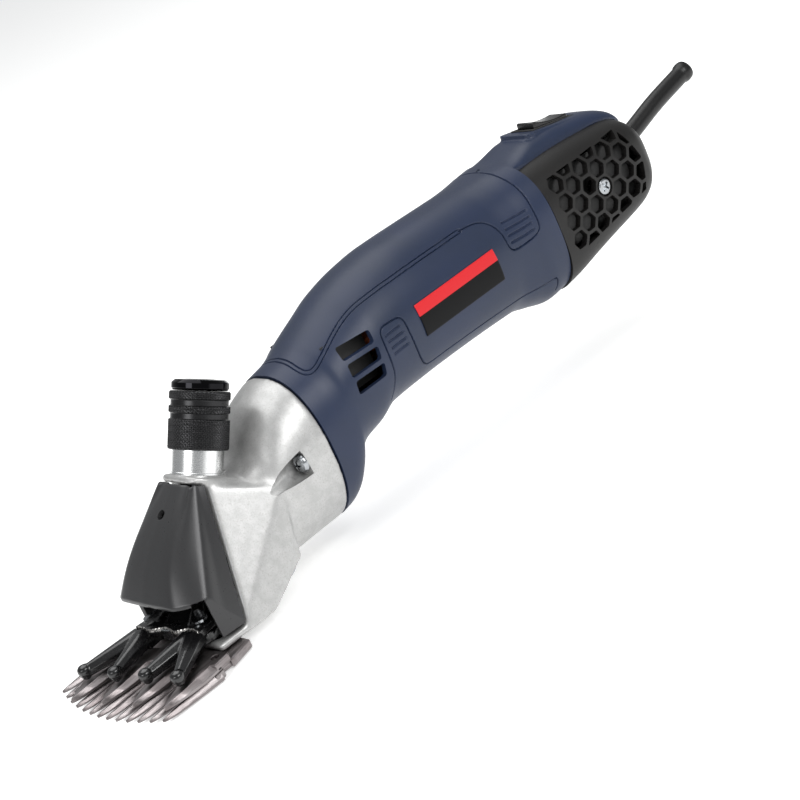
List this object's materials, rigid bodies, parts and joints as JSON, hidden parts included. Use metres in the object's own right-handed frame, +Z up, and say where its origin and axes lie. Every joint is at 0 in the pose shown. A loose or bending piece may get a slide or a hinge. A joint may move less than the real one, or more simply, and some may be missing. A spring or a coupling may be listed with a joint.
{
  "type": "electric sheep shears",
  "caption": "Electric sheep shears with a navy motor grip, silver cast gear head, knurled tension knob, black fork, steel cutter and wide comb.",
  "frame": {"origin": "on the comb's flat sole, on the centre line, 16 mm behind the roots of the comb's teeth and 2.5 mm in front of its fixing screws", "axes": "+Y runs back along the motor's axis to the cord guard, +Z points up from the comb's sole to the tension knob, +X is the tool's own right seen from behind"},
  "size_m": [0.0786, 0.3926, 0.097],
  "materials": {
    "ground_steel": "ground tool steel with fine lengthwise grinding marks",
    "bright_steel": "bright machined steel",
    "black_enamel": "satin black enamel on a forging",
    "cast_alloy": "pearly sand-textured casting, satin",
    "navy_nylon": "satin moulded nylon, navy",
    "black_nylon": "satin moulded nylon, black",
    "grey_cover": "satin moulded nylon, charcoal grey",
    "knob_black": "diamond-knurled black oxide",
    "cap_black": "polished black oxide",
    "gloss_black": "smooth glossy moulding",
    "label_face": "printed film, a red band over a black field",
    "guard_rubber": "soft moulded rubber",
    "lamination": "stacked silicon-steel laminations, oiled",
    "copper_wire": "enamelled copper",
    "brass_strip": "bent brass strip",
    "carbon": "pressed carbon",
    "capacitor_film": "dipped film capacitor"
  },
  "bodies": {
    "head": {"comb": "ground_steel", "comb_screw_left": "ground_steel", "comb_screw_right": "ground_steel", "fulcrum_post": "bright_steel", "crank_bearing_front": "bright_steel", "crank_bearing_rear": "bright_steel", "bearing_plate": "cast_alloy", "front_bearing": "bright_steel", "head_casting": "cast_alloy", "head_screw_left": "bright_steel", "head_screw_right": "bright_steel", "oil_plug": "black_nylon", "front_cover": "grey_cover", "tension_pin": "bright_steel", "rear_bearing": "bright_steel", "stator_core": "lamination", "field_coil_front": "copper_wire", "field_coil_rear": "copper_wire", "brush_holder_left": "brass_strip", "brush_holder_right": "brass_strip", "brush_left": "carbon", "brush_right": "carbon", "brush_spring_left": "bright_steel", "brush_spring_right": "bright_steel", "motor_housing": "navy_nylon", "label_plate": "label_face", "switch_body": "black_nylon", "rear_cover_left": "grey_cover", "rear_cover_right": "grey_cover", "rear_cover_screw": "bright_steel", "bearing_bridge": "black_nylon", "capacitor": "capacitor_film", "cord_clamp_base": "black_nylon", "cord_clamp_bar": "black_nylon", "cord_guard": "guard_rubber"},
    "fork": {"cutter": "ground_steel", "fork_body": "black_enamel", "fork_yoke_left": "black_enamel", "fork_yoke_right": "black_enamel", "yoke_pin_left": "bright_steel", "yoke_pin_right": "bright_steel", "fork_clip": "bright_steel", "pin_cup": "bright_steel"},
    "armature": {"armature_shaft": "bright_steel", "pinion": "bright_steel", "armature_core": "lamination", "armature_winding_front": "copper_wire", "armature_winding_rear": "copper_wire", "commutator": "copper_wire", "fan": "black_nylon"},
    "crank": {"crank_shaft": "bright_steel", "crank_roller": "bright_steel", "driven_gear": "bright_steel"},
    "sleeve": {"tension_sleeve": "bright_steel", "tension_spring": "bright_steel"},
    "knob": {"tension_knob": "knob_black", "knob_cap": "cap_black"},
    "rocker": {"rocker": "gloss_black"}
  },
  "joints": [
    {"name": "fork_swing", "type": "hinge", "parent": "head", "child": "fork", "pos_m": [0, 0.019, 0.012], "axis": [0, 0, 1], "range_deg": [-18, 0]},
    {"name": "armature_spin", "type": "hinge", "parent": "head", "child": "armature", "pos_m": [0, 0.147, 0.062], "axis": [0, 1, 0], "continuous": true},
    {"name": "crank_spin", "type": "hinge", "parent": "head", "child": "crank", "pos_m": [0, 0.07, 0.04], "axis": [0, 1, 0], "continuous": true},
    {"name": "knob_travel", "type": "slide", "parent": "head", "child": "sleeve", "axis": [0, 0.5299, 0.848], "range_m": [-0.0015, 0.003]},
    {"name": "knob_turn", "type": "hinge", "parent": "sleeve", "child": "knob", "pos_m": [0, 0.0402, 0.0639], "axis": [0, 0.5299, 0.848], "range_deg": [-360, 720]},
    {"name": "rocker_tilt", "type": "hinge", "parent": "head", "child": "rocker", "pos_m": [0, 0.256, 0.0885], "axis": [1, 0, 0], "range_deg": [0, 12]}
  ],
  "couplings": [
    {"joint": "crank_spin", "follows": "armature_spin", "ratio": -0.25},
    {"joint": "knob_travel", "follows": "knob_turn", "m_per_rad": 0.00023873}
  ]
}
